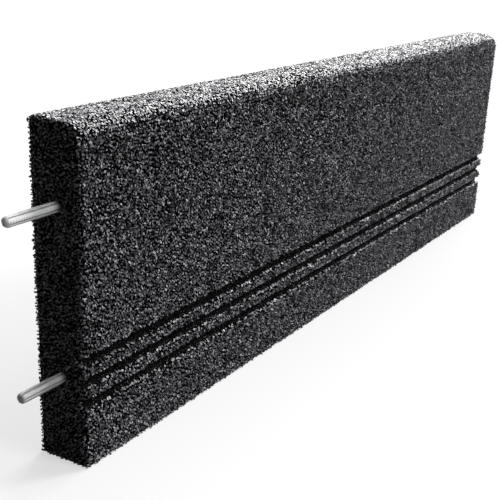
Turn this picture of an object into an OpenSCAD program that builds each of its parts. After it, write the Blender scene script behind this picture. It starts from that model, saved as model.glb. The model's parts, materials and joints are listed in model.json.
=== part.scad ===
// Kerb of bonded rubber granulate, with two plastic dowel pins that join it to the next kerb.
// Lengths are millimetres. X runs along the kerb with the pins at -X, Y goes from the grooved front
// to the plain back, Z is up, and the origin is the middle of the bottom face.

/* [Kerb block] */
// Length of the kerb, without the pins
kerb_len = 1000; // [400:10:1500]
// Height of the kerb
kerb_h = 300; // [270:5:400]
// Thickness from front to back
kerb_t = 52; // [40:1:80]
// Radius of the top edge at the front
front_top_r = 18; // [4:0.5:22]
// Radius of the top edge at the back
back_top_r = 4; // [2:0.5:16]
// Radius of the two bottom edges
bottom_r = 2; // [0.5:0.5:5]

/* [Grooves in the front] */
// Number of grooves
groove_count = 3; // [1:1:4]
// Height of the middle of the lowest groove
lowest_groove_z = 61; // [20:0.5:100]
// Distance from groove to groove
groove_pitch = 20; // [18:0.5:26]
// Width of a groove at the face
groove_mouth_w = 13; // [8:0.5:16]
// Width of a groove at its floor
groove_floor_w = 6; // [2:0.5:8]
// Depth of a groove
groove_depth = 6; // [2:0.5:10]

/* [Dowel pins] */
// Diameter of a pin
pin_d = 9.5; // [6:0.5:14]
// Length of a pin
pin_len = 100; // [90:2:140]
// Height of the upper pin
upper_pin_z = 231; // [180:1:240]
// Height of the lower pin
lower_pin_z = 81; // [30:1:120]
// How far the upper pin is pushed into the block
upper_pin_in = 44; // [30:1:60]
// How far the lower pin is pushed into the block
lower_pin_in = 50; // [30:1:60]
// Rounding of a pin's ends
pin_tip_r = 2.5; // [0.5:0.25:2.75]
// Width of the grooves along a pin
flute_w = 1.2; // [0.5:0.1:1.3]
// Number of grooves along a pin
flute_count = 5; // [2:1:5]
// How far the lower pin is turned about its own axis
lower_pin_turn = 20; // [0:1:90]
// Width of the ring that marks a pin's middle
ring_w = 1.5; // [0.5:0.1:3]
// Depth of that ring
ring_depth = 0.5; // [0.2:0.1:1]

/* [Bores for the pins] */
// Room around a pin in its bore, none because the rubber grips it
pin_clearance = 0; // [0:0.05:0.5]
// Room past the end of the pin that goes deepest
bore_spare = 2; // [0:0.5:10]

/* [Hidden] */
$fn = 96;

rubber_colour = "#26272a";
pin_colour = "#b9bcbe";

// How far a cutting shape runs past the face that it cuts
past = 1;

pin_r = pin_d / 2;
bore_r = pin_r + pin_clearance;
pins_in = [upper_pin_in, lower_pin_in];
// Both ends take either half of a pin, so every bore has the same depth
bore_depth = max([for (into = pins_in) max(into, pin_len - into)]) + bore_spare;
groove_heights = [for (i = [0 : groove_count - 1]) lowest_groove_z + i * groove_pitch];

// What a quarter-round edge takes off a square corner at the origin, the corner's sides along +x and +y
module corner_waste(r) {
    difference() {
        translate([-past, -past]) square(r + past);
        translate([r, r]) circle(r);
    }
}

// One groove, its middle at the origin and its depth along +x
module groove_outline() {
    mouth = groove_mouth_w / 2;
    floor = groove_floor_w / 2;
    polygon([
        [-past, -mouth], [0, -mouth], [groove_depth, -floor],
        [groove_depth, floor], [0, mouth], [-past, mouth]
    ]);
}

// Section of the block, x from front to back and y up, the front bottom corner at the origin
module block_section() {
    difference() {
        square([kerb_t, kerb_h]);
        corner_waste(bottom_r);
        translate([kerb_t, 0]) mirror([1, 0]) corner_waste(bottom_r);
        translate([0, kerb_h]) mirror([0, 1]) corner_waste(front_top_r);
        translate([kerb_t, kerb_h]) rotate(180) corner_waste(back_top_r);
        for (z = groove_heights) translate([0, z]) groove_outline();
    }
}

// Bore in the end face at x = -kerb_len / 2, open towards -x
module pin_bore(z) {
    translate([-kerb_len / 2 - past, 0, z]) rotate([0, 90, 0]) cylinder(h = bore_depth + past, r = bore_r);
}

module kerb_block() {
    color(rubber_colour)
    difference() {
        translate([-kerb_len / 2, -kerb_t / 2, 0])
            rotate([90, 0, 90]) linear_extrude(kerb_len) block_section();
        for (z = [upper_pin_z, lower_pin_z]) {
            pin_bore(z);
            mirror([1, 0, 0]) pin_bore(z);
        }
    }
}

// Half section of a pin, x outwards from its axis and y along it
module pin_half_section() {
    difference() {
        square([pin_r, pin_len]);
        translate([pin_r, 0]) mirror([1, 0]) corner_waste(pin_tip_r);
        translate([pin_r, pin_len]) rotate(180) corner_waste(pin_tip_r);
        translate([pin_r - ring_depth, pin_len / 2 - ring_w / 2]) square([ring_depth + past, ring_w]);
    }
}

// A pin pushed into the block at a height and turned about its axis, its top between two grooves at no turn
module dowel_pin(z, into, turn) {
    color(pin_colour)
    translate([-kerb_len / 2 + into, 0, z]) rotate([0, -90, 0]) rotate(turn)
    difference() {
        rotate_extrude() pin_half_section();
        for (i = [0 : flute_count - 1])
            rotate((i + 0.5) * 360 / flute_count)
                translate([pin_r, 0, -past]) cylinder(h = pin_len + 2 * past, d = flute_w);
    }
}

module upper_dowel_pin() { dowel_pin(upper_pin_z, upper_pin_in, 0); }

module lower_dowel_pin() { dowel_pin(lower_pin_z, lower_pin_in, lower_pin_turn); }

kerb_block();
upper_dowel_pin();
lower_dowel_pin();
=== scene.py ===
import json
import math
import random

import bmesh
import bpy
from mathutils import Matrix, Vector

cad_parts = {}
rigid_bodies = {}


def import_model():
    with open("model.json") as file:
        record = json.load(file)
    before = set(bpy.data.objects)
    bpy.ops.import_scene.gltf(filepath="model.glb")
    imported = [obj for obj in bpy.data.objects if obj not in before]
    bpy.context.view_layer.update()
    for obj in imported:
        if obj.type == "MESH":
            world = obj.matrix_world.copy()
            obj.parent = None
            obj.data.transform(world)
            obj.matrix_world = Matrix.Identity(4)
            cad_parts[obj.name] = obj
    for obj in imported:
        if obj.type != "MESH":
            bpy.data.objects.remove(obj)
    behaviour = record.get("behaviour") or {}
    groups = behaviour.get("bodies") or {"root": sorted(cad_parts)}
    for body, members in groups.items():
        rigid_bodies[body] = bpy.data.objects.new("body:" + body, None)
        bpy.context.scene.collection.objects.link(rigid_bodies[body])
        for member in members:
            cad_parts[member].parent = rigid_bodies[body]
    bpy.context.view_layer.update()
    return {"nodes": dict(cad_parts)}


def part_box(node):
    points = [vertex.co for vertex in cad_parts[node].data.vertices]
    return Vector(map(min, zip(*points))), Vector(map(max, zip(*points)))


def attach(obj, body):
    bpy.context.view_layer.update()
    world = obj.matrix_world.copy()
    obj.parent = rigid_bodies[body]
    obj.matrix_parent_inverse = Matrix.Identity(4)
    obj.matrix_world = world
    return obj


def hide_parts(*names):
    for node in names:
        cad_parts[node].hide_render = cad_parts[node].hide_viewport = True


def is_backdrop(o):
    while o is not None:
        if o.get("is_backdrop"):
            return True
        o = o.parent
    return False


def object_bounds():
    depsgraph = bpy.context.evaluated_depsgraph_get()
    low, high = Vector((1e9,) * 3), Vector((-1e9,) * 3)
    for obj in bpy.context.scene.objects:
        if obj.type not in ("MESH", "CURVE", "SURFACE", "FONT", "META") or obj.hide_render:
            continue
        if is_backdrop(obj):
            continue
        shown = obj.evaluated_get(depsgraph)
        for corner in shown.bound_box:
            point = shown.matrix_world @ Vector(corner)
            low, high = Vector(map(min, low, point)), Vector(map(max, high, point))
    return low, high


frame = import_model()
scene = bpy.context.scene
scene.view_settings.view_transform = "Standard"
mm = 0.001  # one millimetre in scene units


# helpers for node trees

def addNode(tree, kind, inputs=None, **settings):
    node = tree.nodes.new(kind)
    for name, value in settings.items():
        setattr(node, name, value)
    for key, value in (inputs or {}).items():
        if isinstance(value, bpy.types.NodeSocket):
            tree.links.new(value, node.inputs[key])
        else:
            node.inputs[key].default_value = value
    return node


def mathNode(tree, operation, first, second):
    return addNode(tree, "ShaderNodeMath", {0: first, 1: second}, operation=operation).outputs[0]


def newMaterial(name):
    material = bpy.data.materials.new(name)
    material.use_nodes = True
    tree = material.node_tree
    return material, tree, tree.nodes["Principled BSDF"]


def objectCoords(tree):
    return tree.nodes.new("ShaderNodeTexCoord").outputs["Object"]


def linkObject(name, data):
    obj = bpy.data.objects.new(name, data)
    scene.collection.objects.link(obj)
    return obj


# camera, placed as the photograph was taken
cameraSpot = {
    "at": (-1.0361, -0.5042, 0.4461),
    "looking": (0.8154, 0.4533, -0.3600),
    "rollDegrees": 3.11,
    "lens": 67.67,
    "sensor": 36.0,
    "shift": (-0.06, 0.08),
    "clip": (0.01, 50.0),
}


def makeCamera(spot):
    data = bpy.data.cameras.new("camera")
    data.lens = spot["lens"]
    data.sensor_width = spot["sensor"]
    data.shift_x, data.shift_y = spot["shift"]
    data.clip_start, data.clip_end = spot["clip"]
    camera = linkObject("camera", data)
    forward = Vector(spot["looking"]).normalized()
    right = forward.cross(Vector((0, 0, 1))).normalized()
    up = right.cross(forward)
    axes = Matrix((right, up, -forward)).transposed()
    axes = axes @ Matrix.Rotation(math.radians(spot["rollDegrees"]), 3, "Z")
    camera.matrix_world = Matrix.Translation(spot["at"]) @ axes.to_4x4()
    scene.camera = camera


makeCamera(cameraSpot)
print("camera placed")


# shared surface effect: fine cut texture of rubber and plastic
def makeFineGrainGroup():
    group = bpy.data.node_groups.new("fineGrain", "ShaderNodeTree")
    sockets = group.interface
    sockets.new_socket("Vector", in_out="INPUT", socket_type="NodeSocketVector")
    for name in ("Scale", "Strength", "Distance"):
        sockets.new_socket(name, in_out="INPUT", socket_type="NodeSocketFloat")
    sockets.new_socket("Value", in_out="OUTPUT", socket_type="NodeSocketFloat")
    sockets.new_socket("Normal", in_out="OUTPUT", socket_type="NodeSocketVector")
    start = group.nodes.new("NodeGroupInput").outputs
    end = group.nodes.new("NodeGroupOutput")
    noise = addNode(group, "ShaderNodeTexNoise", {
        "Vector": start["Vector"], "Scale": start["Scale"], "Detail": 4.0, "Roughness": 0.6})
    bump = addNode(group, "ShaderNodeBump", {
        "Height": noise.outputs["Fac"], "Strength": start["Strength"], "Distance": start["Distance"]})
    group.links.new(noise.outputs["Fac"], end.inputs["Value"])
    group.links.new(bump.outputs["Normal"], end.inputs["Normal"])
    return group


fineGrain = makeFineGrainGroup()


def addGrain(tree, coords, settings):
    return addNode(tree, "ShaderNodeGroup", {"Vector": coords, **settings}, node_tree=fineGrain).outputs


# rubber of the granules, each with a tone of its own at random, and with painted shade deep in the grooves
granuleRubber = {
    "grooveShadeBlack": (0.004, 0.004, 0.005, 1),  # painted shade: colour of the granules deep in the grooves, standing in for the grooves' shadow
    "darkest": (0.057, 0.056, 0.060, 1),
    "darkestAt": 0.10,
    "usual": (0.154, 0.153, 0.167, 1),
    "usualAt": 0.60,
    "dusty": (0.380, 0.380, 0.412, 1),
    "specular": 0.09,
    "binder": 0.85,  # coat on faces that look up, where the binder lies thicker
    "binderRough": 0.45,
    "smooth": 0.28,
    "rough": 0.50,
    "grain": {"Scale": 900.0, "Strength": 0.2, "Distance": 0.4 * mm},
    "grainRange": (0.3, 0.7),  # part of the grain's values that runs from smooth to rough
}


def makeGranuleMaterial(look):
    material, tree, surface = newMaterial("granule_rubber")
    # each granule's random tone, with painted shade for the granules deep in the grooves
    shade = addNode(tree, "ShaderNodeAttribute", attribute_name="granuleShade").outputs["Fac"]
    ramp = addNode(tree, "ShaderNodeValToRGB", {"Fac": shade})
    stops = ramp.color_ramp.elements
    stops[0].color = look["grooveShadeBlack"]
    stops[1].color = look["dusty"]
    stops.new(look["darkestAt"]).color = look["darkest"]
    stops.new(look["usualAt"]).color = look["usual"]
    grain = addGrain(tree, objectCoords(tree), look["grain"])
    grainLow, grainHigh = look["grainRange"]
    roughness = addNode(tree, "ShaderNodeMapRange", {
        "Value": grain["Value"], "From Min": grainLow, "From Max": grainHigh,
        "To Min": look["smooth"], "To Max": look["rough"]})
    gloss = addNode(tree, "ShaderNodeAttribute", attribute_name="granuleGloss").outputs["Fac"]
    binder = mathNode(tree, "MULTIPLY", gloss, look["binder"])
    tree.links.new(binder, surface.inputs["Coat Weight"])
    surface.inputs["Coat Roughness"].default_value = look["binderRough"]
    surface.inputs["Specular IOR Level"].default_value = look["specular"]
    tree.links.new(ramp.outputs["Color"], surface.inputs["Base Color"])
    tree.links.new(roughness.outputs["Result"], surface.inputs["Roughness"])
    tree.links.new(grain["Normal"], surface.inputs["Normal"])
    return material


# bonded mass between the granules, near black
bondedMass = {
    # painted shade: the deep parts of the pits are darker than the shallow ones
    "deep": (0.002, 0.002, 0.002, 1),
    "deepAt": 0.7,
    "shallow": (0.008, 0.008, 0.009, 1),
    "pitSize": 2.2 * mm,
    "pitDepth": 0.8 * mm,
    "pitStrength": 0.8,
    "rough": 0.95,
    "specular": 0.0,
}


def makeBondedMaterial(look):
    material, tree, surface = newMaterial("bonded_rubber")
    coords = objectCoords(tree)
    pits = addNode(tree, "ShaderNodeTexVoronoi", {"Vector": coords, "Scale": 1 / look["pitSize"]})
    # painted shade: darker towards the bottom of each pit
    ramp = addNode(tree, "ShaderNodeValToRGB", {"Fac": pits.outputs["Distance"]})
    ramp.color_ramp.elements[0].color = look["shallow"]
    ramp.color_ramp.elements[1].position = look["deepAt"]
    ramp.color_ramp.elements[1].color = look["deep"]
    bump = addNode(tree, "ShaderNodeBump", {
        "Height": pits.outputs["Distance"], "Strength": look["pitStrength"],
        "Distance": look["pitDepth"]}, invert=True)
    tree.links.new(ramp.outputs["Color"], surface.inputs["Base Color"])
    tree.links.new(bump.outputs["Normal"], surface.inputs["Normal"])
    surface.inputs["Roughness"].default_value = look["rough"]
    surface.inputs["Specular IOR Level"].default_value = look["specular"]
    return material


granuleMaterial = makeGranuleMaterial(granuleRubber)
bondedMaterial = makeBondedMaterial(bondedMass)

blockNode = frame["nodes"]["kerb_block"]
blockLow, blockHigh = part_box("kerb_block")
weldDistance = 0.001 * mm


def weldedBlock():
    mesh = blockNode.data.copy()
    shape = bmesh.new()
    shape.from_mesh(mesh)
    bmesh.ops.remove_doubles(shape, verts=shape.verts, dist=weldDistance)
    shape.normal_update()
    return mesh, shape


# middle and radius of each pin, across the kerb
pinAxes = []
for pin in ("upper_dowel_pin", "lower_dowel_pin"):
    low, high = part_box(pin)
    pinAxes.append(((low.y + high.y) / 2, (low.z + high.z) / 2, (high.z - low.z) / 2))


# the bonded mass behind the granules: the block with every face but the bores drawn in a little
core = {
    "drawnIn": 0.5 * mm,
    "boreSlack": 0.05 * mm,
    "samePlane": 0.999,  # faces whose normals agree by this much count as one
    "passes": 40,
}


def makeCore(look):
    mesh, shape = weldedBlock()

    def inBore(point):
        return any(math.hypot(point.y - y, point.z - z) < r + look["boreSlack"] for y, z, r in pinAxes)

    moves = {}
    for vert in shape.verts:
        normals = []
        for face in vert.link_faces:
            boreWall = all(inBore(v.co) for v in face.verts)
            if boreWall or any(face.normal.dot(n) > look["samePlane"] for n in normals):
                continue
            normals.append(face.normal.copy())
        # the shift that draws each of these faces in by the same depth
        shift = Vector()
        for _ in range(look["passes"]):
            for normal in normals:
                shift -= normal * (shift.dot(normal) + look["drawnIn"])
        moves[vert] = shift
    for vert, shift in moves.items():
        vert.co += shift
    shape.to_mesh(mesh)
    shape.free()
    mesh.materials.clear()
    mesh.materials.append(bondedMaterial)
    piece = linkObject("kerb_core", mesh)
    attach(piece, "root")
    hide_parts("kerb_block")
    print("core", len(mesh.polygons), "faces")


makeCore(core)


# the granules themselves: cut chips of rubber over every face of the block
granules = {
    "spacing": 2.15 * mm,
    "most": 700000.0,  # granules a square metre before the spacing thins them
    "size": (1.85 * mm, 2.8 * mm),
    "thin": (0.85, 0.65, 0.80),  # least of a chip's length, width and thickness, as shares of its size
    "thick": (1.50, 1.05, 1.20),  # and most
    "tiltDegrees": 48.0,  # most lie much flatter
    "pressedFrom": 0.7,  # up or down part of a normal from which a face is the top or the bottom
    "topTilt": 0.45,  # share of that tilt on the top and the bottom, which are pressed flat
    "topSize": 0.18,  # and how much wider the granules lie there
    "standOut": (0.65 * mm, 1.1 * mm),  # least and most that a chip's pressed face stands out
    "bottomBelow": 1 * mm,  # height below which a granule belongs to the bottom
    "bottomSink": 1.2 * mm,  # how much deeper it lies there
    "bottomOut": 0.2 * mm,  # most that a granule stands out of it
    "grooveShare": 0.6,  # size, depth and painted shade of the granules deep in the grooves, where a darker colour stands in for their shadow
    "grooveSink": 1.1 * mm,
    "groovePaintedShade": 0.06,
    "grooveFrom": 1.2 * mm,  # least and most distance behind the front that counts as deep
    "grooveTo": 7 * mm,
    "grooveLip": 1.4 * mm,  # further in on a groove's lower side, where light falls; there the smaller, sunk granules and their painted shade start deeper
    "lipFrom": 0.3,  # upward part of a normal from which a face is that lower side
    "grooveLow": 10 * mm,  # least and most height
    "grooveTop": 115 * mm,
    "endClear": 1 * mm,  # no nearer to the ends than this
    "glossFrom": 0.42,  # upward part of a face's normal from which its granules turn glossy
    "glossFull": 0.58,
    "uneven": 0.13,  # how far a chip's corners stray, as a share of its size
    "flatShare": 0.5,  # and how much of that out of its pressed face
    "turnStray": 0.25,  # how far they stray around it, as a share of a side
    "cornerReach": (0.48, 0.66),  # least and most from its middle
    "root": -1.3,  # how far a chip's root goes in, as a share of its size
    "sides": (4, 5, 4, 3),
    "chips": 12,
    "seed": 7,
    "slabs": 6,
    "pastEnds": 5 * mm,  # so that the end faces are covered
    "boreClear": 1.0 * mm,
}


def makeChips(look):
    rng = random.Random(look["seed"])
    shelf = bpy.data.collections.new("chips")
    stray = look["uneven"]
    turn = look["turnStray"]
    for index in range(look["chips"]):
        sides = look["sides"][index % len(look["sides"])]
        points = [Vector((0, 0, look["root"]))]
        for i in range(sides):
            angle = math.tau * (i + rng.uniform(-turn, turn)) / sides
            reach = rng.uniform(*look["cornerReach"])
            points.append(Vector((reach * math.cos(angle), reach * math.sin(angle), 0)))
        shares = (1, 1, look["flatShare"])
        points = [p + Vector([rng.uniform(-stray, stray) * share for share in shares]) for p in points]
        faces = [tuple(range(1, sides + 1))]
        faces += [(0, (i + 1) % sides + 1, i + 1) for i in range(sides)]
        mesh = bpy.data.meshes.new(f"chip{index}")
        mesh.from_pydata(points, [], faces)
        shelf.objects.link(bpy.data.objects.new(f"chip{index}", mesh))
    return shelf


def makeGranuleTree(shelf, look):
    tree = bpy.data.node_groups.new("granuleCover", "GeometryNodeTree")
    sockets = tree.interface
    sockets.new_socket("Geometry", in_out="INPUT", socket_type="NodeSocketGeometry")
    for name in ("Spacing", "Most", "Size Min", "Size Max", "Out Min", "Out Max", "From X", "To X"):
        sockets.new_socket(name, in_out="INPUT", socket_type="NodeSocketFloat")
    sockets.new_socket("Seed", in_out="INPUT", socket_type="NodeSocketInt")
    sockets.new_socket("Geometry", in_out="OUTPUT", socket_type="NodeSocketGeometry")
    given = tree.nodes.new("NodeGroupInput").outputs
    end = tree.nodes.new("NodeGroupOutput")

    def math2(operation, first, second):
        return mathNode(tree, operation, first, second)

    def randomValue(kind, low, high, seedStep):
        # places of the node's two limits and of its output, for each kind of value
        least, most, drawn = {"FLOAT_VECTOR": (0, 1, 0), "FLOAT": (2, 3, 1), "INT": (4, 5, 2)}[kind]
        seed = math2("ADD", given["Seed"], float(seedStep))
        node = addNode(tree, "FunctionNodeRandomValue", {
            least: low, most: high, "Seed": seed}, data_type=kind)
        return node.outputs[drawn]

    def cutTo(share, value, where):
        # the value, cut to a share of itself where the other one is 1
        return math2("MULTIPLY", value, math2("SUBTRACT", 1.0, math2("MULTIPLY", where, 1 - share)))

    spread = addNode(tree, "GeometryNodeDistributePointsOnFaces", {
        "Mesh": given["Geometry"], "Distance Min": given["Spacing"],
        "Density Max": given["Most"], "Seed": given["Seed"]}, distribute_method="POISSON")
    # keep one slab of the length
    position = tree.nodes.new("GeometryNodeInputPosition").outputs[0]
    across = addNode(tree, "ShaderNodeSeparateXYZ", {0: position})
    x = across.outputs["X"]
    outside = math2("ADD", math2("LESS_THAN", x, given["From X"]), math2("GREATER_THAN", x, given["To X"]))
    kept = addNode(tree, "GeometryNodeDeleteGeometry", {
        "Geometry": spread.outputs["Points"], "Selection": outside}, domain="POINT")
    # and keep clear of the pin bores
    y = across.outputs["Y"]
    z = across.outputs["Z"]
    inBore = None
    for axisY, axisZ, radius in pinAxes:
        dy = math2("SUBTRACT", y, axisY)
        dz = math2("SUBTRACT", z, axisZ)
        far = math2("SQRT", math2("ADD", math2("MULTIPLY", dy, dy), math2("MULTIPLY", dz, dz)), 0.0)
        near = math2("LESS_THAN", far, radius + look["boreClear"])
        inBore = near if inBore is None else math2("ADD", inBore, near)
    kept = addNode(tree, "GeometryNodeDeleteGeometry", {
        "Geometry": kept.outputs[0], "Selection": inBore}, domain="POINT")
    chipSet = addNode(tree, "GeometryNodeCollectionInfo", {
        "Collection": shelf, "Separate Children": True, "Reset Children": True})
    # each chip lies near flat on its face, turned and tilted at random
    tilt = math.radians(look["tiltDegrees"])
    upward = addNode(tree, "ShaderNodeSeparateXYZ", {0: spread.outputs["Normal"]}).outputs["Z"]
    pressed = math2("GREATER_THAN", math2("ABSOLUTE", upward, 0.0), look["pressedFrom"])
    tilt = cutTo(look["topTilt"], tilt, pressed)
    mostTurn = addNode(tree, "ShaderNodeCombineXYZ", {"X": tilt, "Y": tilt, "Z": math.tau}).outputs[0]
    drawn = randomValue("FLOAT_VECTOR", (-1, -1, 0), (1, 1, 1), 1)
    bent = addNode(tree, "ShaderNodeVectorMath", {0: drawn}, operation="ABSOLUTE").outputs[0]
    bent = addNode(tree, "ShaderNodeVectorMath", {0: drawn, 1: bent}, operation="MULTIPLY").outputs[0]
    turn = addNode(tree, "ShaderNodeVectorMath", {0: bent, 1: mostTurn}, operation="MULTIPLY").outputs[0]
    laidFlat = addNode(tree, "FunctionNodeRotateRotation", {
        "Rotation": spread.outputs["Rotation"], "Rotate By": turn}, rotation_space="LOCAL").outputs[0]
    stretch = randomValue("FLOAT_VECTOR", look["thin"], look["thick"], 2)
    size = randomValue("FLOAT", given["Size Min"], given["Size Max"], 3)
    # smaller deep in the grooves, which lie behind the front face
    lip = math2("MULTIPLY", math2("GREATER_THAN", upward, look["lipFrom"]), look["grooveLip"])
    behind = math2("GREATER_THAN", math2("SUBTRACT", y, lip), blockLow.y + look["grooveFrom"])
    inGroove = math2("MULTIPLY", behind, math2("LESS_THAN", y, blockLow.y + look["grooveTo"]))
    inGroove = math2("MULTIPLY", inGroove, math2("LESS_THAN", z, look["grooveTop"]))
    inGroove = math2("MULTIPLY", inGroove, math2("GREATER_THAN", z, look["grooveLow"]))
    ends = math2("LESS_THAN", math2("ABSOLUTE", x, 0.0), blockHigh.x - look["endClear"])
    inGroove = math2("MULTIPLY", inGroove, ends)
    size = cutTo(look["grooveShare"], size, inGroove)
    size = math2("MULTIPLY", size, math2("ADD", 1.0, math2("MULTIPLY", pressed, look["topSize"])))
    scale = addNode(tree, "ShaderNodeVectorMath", {0: stretch, "Scale": size}, operation="SCALE").outputs[0]
    onBottom = math2("LESS_THAN", z, look["bottomBelow"])
    standOut = randomValue("FLOAT", given["Out Min"], given["Out Max"], 6)
    standOut = math2("SUBTRACT", standOut, math2("MULTIPLY", onBottom, look["bottomSink"]))
    standOut = math2("SUBTRACT", standOut, math2("MULTIPLY", inGroove, look["grooveSink"]))
    offset = addNode(tree, "ShaderNodeVectorMath", {
        0: spread.outputs["Normal"], "Scale": standOut}, operation="SCALE").outputs[0]
    placed = addNode(tree, "GeometryNodeSetPosition", {"Geometry": kept.outputs[0], "Offset": offset})
    laid = addNode(tree, "GeometryNodeInstanceOnPoints", {
        "Points": placed.outputs[0], "Instance": chipSet.outputs[0], "Pick Instance": True,
        "Instance Index": randomValue("INT", 0, look["chips"] - 1, 4),
        "Rotation": laidFlat, "Scale": scale})
    # painted shade: granules deep in the grooves get a darker colour, standing in for the grooves' shadow;
    # elsewhere the tone differs at random
    shade = cutTo(look["groovePaintedShade"], randomValue("FLOAT", 0.0, 1.0, 5), inGroove)
    gloss = addNode(tree, "ShaderNodeMapRange", {
        "Value": upward, "From Min": look["glossFrom"], "From Max": look["glossFull"]}).outputs[0]
    gloss = math2("MULTIPLY", gloss, math2("SUBTRACT", 1.0, inGroove))
    marked = laid
    for name, value in (("granuleShade", shade), ("granuleGloss", gloss)):
        marked = addNode(tree, "GeometryNodeStoreNamedAttribute", {
            "Geometry": marked.outputs[0], "Name": name, "Value": value},
            data_type="FLOAT", domain="INSTANCE")
    real = addNode(tree, "GeometryNodeRealizeInstances", {"Geometry": marked.outputs[0]})
    # the bottom is flat, as the mould left it
    sunk = addNode(tree, "ShaderNodeSeparateXYZ", {0: position}).outputs["Z"]
    lift = math2("SUBTRACT", math2("MAXIMUM", sunk, blockLow.z - look["bottomOut"]), sunk)
    raised = addNode(tree, "ShaderNodeCombineXYZ", {"Z": lift}).outputs[0]
    levelled = addNode(tree, "GeometryNodeSetPosition", {"Geometry": real.outputs[0], "Offset": raised})
    finished = addNode(tree, "GeometryNodeSetMaterial", {
        "Geometry": levelled.outputs[0], "Material": granuleMaterial})
    tree.links.new(finished.outputs[0], end.inputs[0])
    return tree


def socketId(tree, name):
    return next(s.identifier for s in tree.interface.items_tree if s.name == name and s.in_out == "INPUT")


def coverWithGranules(look):
    shelf = makeChips(look)
    tree = makeGranuleTree(shelf, look)
    reach = look["pastEnds"]
    last = look["slabs"] - 1
    step = (blockHigh.x - blockLow.x) / look["slabs"]
    pieces = []
    for slab in range(look["slabs"]):
        fromX = blockLow.x + slab * step - (reach if slab == 0 else 0)
        toX = blockLow.x + (slab + 1) * step + (reach if slab == last else 0)
        mesh, shape = weldedBlock()
        shape.to_mesh(mesh)
        shape.free()
        carrier = linkObject("carrier", mesh)
        cover = carrier.modifiers.new("cover", "NODES")
        cover.node_group = tree
        values = {
            "Spacing": look["spacing"], "Most": look["most"],
            "Size Min": look["size"][0], "Size Max": look["size"][1],
            "Out Min": look["standOut"][0], "Out Max": look["standOut"][1],
            "From X": fromX, "To X": toX, "Seed": look["seed"]}
        for name, value in values.items():
            cover[socketId(tree, name)] = value
        graph = bpy.context.evaluated_depsgraph_get()
        result = bpy.data.meshes.new_from_object(carrier.evaluated_get(graph), depsgraph=graph)
        bpy.data.objects.remove(carrier)
        bpy.data.meshes.remove(mesh)
        result.name = f"granules_{slab + 1}"
        piece = linkObject(f"granules_{slab + 1}", result)
        pieces.append(piece)
        print("granules", slab + 1, len(result.polygons), "faces")
    for chip in list(shelf.objects):
        bpy.data.objects.remove(chip)
    bpy.data.collections.remove(shelf)
    return pieces


granulePieces = coverWithGranules(granules)
for piece in granulePieces:
    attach(piece, "root")


# dowel pins: fluted, finely ringed plastic rods with round ends
dowelPin = {
    "flutes": 5,
    "fluteWidth": 1.7 * mm,
    "fluteDepth": 0.8 * mm,
    "tipRound": 3.2 * mm,
    "tipSteps": 8,
    "leastRadius": 0.05 * mm,
    "ringPitch": 2.75 * mm,
    "ringHeight": 0.3 * mm,
    "ringShade": 0.24,  # painted shade between the rings, as a share of that in the grooves
    "around": 80,
    "ringSteps": 5,
    "upperColour": (0.86, 0.87, 0.87, 1),
    # painted shade: the lower pin is the same plastic as the upper one, given a darker colour for the
    # lesser light on it
    "lowerShadedColour": (0.47, 0.48, 0.47, 1),
    "grimeAndShade": (0.14, 0.14, 0.14, 1),  # painted shade in the grooves and between the rings, and real grime in faint clouds
    "clouds": 0.30,
    "cloudScale": 160.0,
    "cloudDetail": 5.0,
    "cloudRange": (0.52, 0.25),  # noise that is clean, and noise that is fully clouded
    "grain": {"Scale": 700.0, "Strength": 0.15, "Distance": 0.2 * mm},
    "rough": 0.42,
    "milky": 0.95,  # share of the light that goes into the plastic, and how far
    "milkyDepth": 9 * mm,
    "upperTurn": 0,  # degrees about the pin's own axis
    "lowerTurn": 20,
}


def makePinMaterial(name, look, colour):
    material, tree, surface = newMaterial(name)
    coords = objectCoords(tree)
    cloud = addNode(tree, "ShaderNodeTexNoise", {
        "Vector": coords, "Scale": look["cloudScale"], "Detail": look["cloudDetail"]})
    cleanAt, fullAt = look["cloudRange"]
    clouded = addNode(tree, "ShaderNodeMapRange", {
        "Value": cloud.outputs["Fac"], "From Min": cleanAt, "From Max": fullAt,
        "To Min": 0.0, "To Max": look["clouds"]}).outputs["Result"]
    # painted shade from the pin's grooves and ring valleys, joined with real grime in clouds
    paintedShade = addNode(tree, "ShaderNodeAttribute", attribute_name="pinPaintedShade").outputs["Fac"]
    dirtAndShade = mathNode(tree, "MAXIMUM", clouded, paintedShade)
    darkening = addNode(tree, "ShaderNodeMix", {
        "Factor": dirtAndShade, 6: colour, 7: look["grimeAndShade"]}, data_type="RGBA").outputs[2]
    grain = addGrain(tree, coords, look["grain"])
    tree.links.new(darkening, surface.inputs["Base Color"])
    tree.links.new(grain["Normal"], surface.inputs["Normal"])
    surface.inputs["Roughness"].default_value = look["rough"]
    surface.inputs["Subsurface Weight"].default_value = look["milky"]
    surface.inputs["Subsurface Radius"].default_value = (1, 1, 1)
    surface.inputs["Subsurface Scale"].default_value = look["milkyDepth"]
    return material


def pinRadius(look, radius, fromTop, along, length):
    # rounded ends
    end = min(along, length - along)
    tip = look["tipRound"]
    shape = radius
    if end < tip:
        shape = radius - tip + math.sqrt(max(tip ** 2 - (tip - end) ** 2, 0.0))
    # fine rings
    ring = abs(((along / look["ringPitch"]) % 1.0) - 0.5) * 2
    shape -= look["ringHeight"] * ring ** 2
    # grooves along the pin, which run out at its ends
    share = math.tau / look["flutes"]
    fromFlute = abs((fromTop % share) - share / 2) * radius
    half = look["fluteWidth"] / 2
    groove = math.cos(min(fromFlute / half, 1.0) * math.pi / 2) * min(end / tip, 1.0)
    # painted shade: the grooves and the valleys between the rings are darkened in colour
    paintedShade = max(groove, look["ringShade"] * ring ** 4)
    return max(shape - look["fluteDepth"] * groove, look["leastRadius"]), paintedShade


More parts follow.
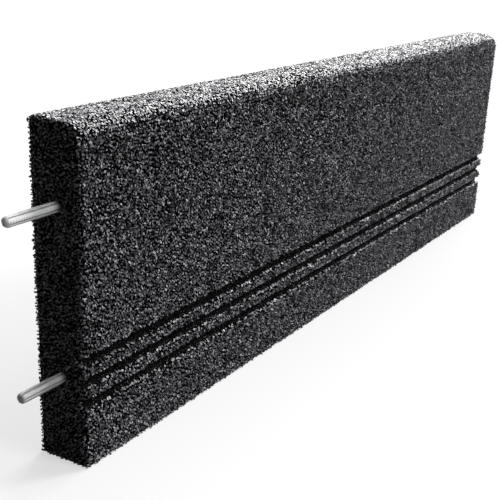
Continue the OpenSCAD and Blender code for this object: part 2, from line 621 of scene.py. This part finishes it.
def makePin(name, node, look, material, turnDegrees):
    low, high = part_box(node)
    length = high.x - low.x
    radius = (high.z - low.z) / 2
    middle = (low + high) / 2
    steps = round(length / look["ringPitch"] * look["ringSteps"])
    places = [length * i / steps for i in range(steps + 1)]
    # closer together on the round ends
    tipSteps = look["tipSteps"]
    extra = [look["tipRound"] * (1 - math.cos(i / tipSteps * math.pi / 2)) for i in range(1, tipSteps)]
    places = sorted(set(places + extra + [length - e for e in extra]))
    shape = bmesh.new()
    # per-vertex amount of painted shade in the grooves and between the rings
    darkening = shape.verts.layers.float.new("pinPaintedShade")
    rings = []
    for along in places:
        ring = []
        for i in range(look["around"]):
            angle = math.tau * i / look["around"]
            r, paintedShade = pinRadius(look, radius, angle - math.radians(turnDegrees), along, length)
            across = (middle.y + r * math.sin(angle), middle.z + r * math.cos(angle))
            ring.append(shape.verts.new((low.x + along, *across)))
            ring[-1][darkening] = paintedShade
        rings.append(ring)
    for first, second in zip(rings, rings[1:]):
        for i in range(look["around"]):
            j = (i + 1) % look["around"]
            shape.faces.new((first[i], first[j], second[j], second[i]))
    for ring in (rings[0], rings[-1]):
        centre = shape.verts.new(sum((v.co for v in ring), Vector()) / len(ring))
        for i in range(len(ring)):
            shape.faces.new((ring[i], ring[(i + 1) % len(ring)], centre))
    bmesh.ops.recalc_face_normals(shape, faces=shape.faces)
    for face in shape.faces:
        face.smooth = True
    mesh = bpy.data.meshes.new(name)
    shape.to_mesh(mesh)
    shape.free()
    mesh.materials.append(material)
    pin = linkObject(name, mesh)
    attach(pin, "root")
    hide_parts(node)
    print(name, len(mesh.polygons), "faces")


upperPlastic = makePinMaterial("upper_dowel_plastic", dowelPin, dowelPin["upperColour"])
# painted shade: the lower pin's plastic is the upper one's, darkened
lowerShadedPlastic = makePinMaterial("lower_dowel_plastic_shaded", dowelPin, dowelPin["lowerShadedColour"])
makePin("upper_pin", "upper_dowel_pin", dowelPin, upperPlastic, dowelPin["upperTurn"])
makePin("lower_pin", "lower_dowel_pin", dowelPin, lowerShadedPlastic, dowelPin["lowerTurn"])


# floor, world and lamps
studio = {
    "floorSize": 12.0,
    "floorColour": (0.35, 0.35, 0.35, 1),  # as the camera sees it, with the white below added
    "floorWhite": 0.60,
    "floorBounce": (0.09, 0.09, 0.09, 1),  # as it lights the kerb
    "floorRough": 0.9,
    "worldStrength": 0.12,
    "darkSide": 0.02,  # world on the side that the kerb's pins point to
    "brightTowards": (0.75, 0.25, 0.6),
    "brightRange": (-0.4, 0.6),  # from dark to full, by how far a direction points that way
}
lamps = {
    "back": {"towards": (-0.82, -0.52, -0.22), "strength": 1.6, "angle": 40.0},
    "side": {"towards": (-0.85, -0.08, -0.50), "strength": 2.8, "angle": 35.0},
    "key": {"towards": (-0.50, 0.37, -0.78), "strength": 0.8, "angle": 20.0},
    "rake": {"towards": (-0.80, 0.46, -0.38), "strength": 2.3, "angle": 20.0},
    "front": {"towards": (-0.13, 0.79, -0.59), "strength": 1.35, "angle": 20.0},
}


def makeFloor(look):
    half = look["floorSize"] / 2
    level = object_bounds()[0][2]
    mesh = bpy.data.meshes.new("floor")
    corners = [(-half, -half, level), (half, -half, level), (half, half, level), (-half, half, level)]
    mesh.from_pydata(corners, [], [(0, 1, 2, 3)])
    floor = linkObject("floor", mesh)
    material, tree, surface = newMaterial("floor_paper")
    path = tree.nodes.new("ShaderNodeLightPath").outputs
    seen = mathNode(tree, "MAXIMUM", path["Is Camera Ray"], path["Is Glossy Ray"])
    seen = mathNode(tree, "MAXIMUM", seen, path["Is Transmission Ray"])
    colour = addNode(tree, "ShaderNodeMix", {
        "Factor": seen, 6: look["floorBounce"], 7: look["floorColour"]}, data_type="RGBA").outputs[2]
    glow = mathNode(tree, "MULTIPLY", seen, look["floorWhite"])
    tree.links.new(colour, surface.inputs["Base Color"])
    tree.links.new(glow, surface.inputs["Emission Strength"])
    surface.inputs["Emission Color"].default_value = (1, 1, 1, 1)
    surface.inputs["Roughness"].default_value = look["floorRough"]
    surface.inputs["Specular IOR Level"].default_value = 0.0
    mesh.materials.append(material)
    floor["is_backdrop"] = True


def makeWorld(look):
    world = bpy.data.worlds.new("studio")
    scene.world = world
    world.use_nodes = True
    tree = world.node_tree
    tree.nodes.clear()
    path = tree.nodes.new("ShaderNodeLightPath").outputs
    facing = tree.nodes.new("ShaderNodeTexCoord").outputs["Generated"]
    bright = Vector(look["brightTowards"]).normalized()
    side = addNode(tree, "ShaderNodeVectorMath", {
        0: facing, 1: tuple(bright)}, operation="DOT_PRODUCT").outputs["Value"]
    darkAt, fullAt = look["brightRange"]
    level = addNode(tree, "ShaderNodeMapRange", {
        "Value": side, "From Min": darkAt, "From Max": fullAt,
        "To Min": look["darkSide"], "To Max": 1.0}).outputs[0]
    soft = mathNode(tree, "MULTIPLY", level, look["worldStrength"])
    mirrored = mathNode(tree, "MAXIMUM", path["Is Glossy Ray"], path["Is Transmission Ray"])
    lit = addNode(tree, "ShaderNodeMix", {"Factor": mirrored, "A": soft, "B": level}).outputs[0]
    shown = addNode(tree, "ShaderNodeMix", {"Factor": path["Is Camera Ray"], "A": lit, "B": 1.0}).outputs[0]
    sky = addNode(tree, "ShaderNodeBackground", {"Color": (1, 1, 1, 1), "Strength": shown})
    addNode(tree, "ShaderNodeOutputWorld", {"Surface": sky.outputs[0]})


def makeLamps(looks):
    for name, look in looks.items():
        data = bpy.data.lights.new(name, "SUN")
        data.energy = look["strength"]
        data.angle = math.radians(look["angle"])
        lamp = linkObject(name, data)
        lamp.rotation_euler = Vector(look["towards"]).to_track_quat("-Z", "Y").to_euler()


makeFloor(studio)
makeWorld(studio)
makeLamps(lamps)
print("studio lit")
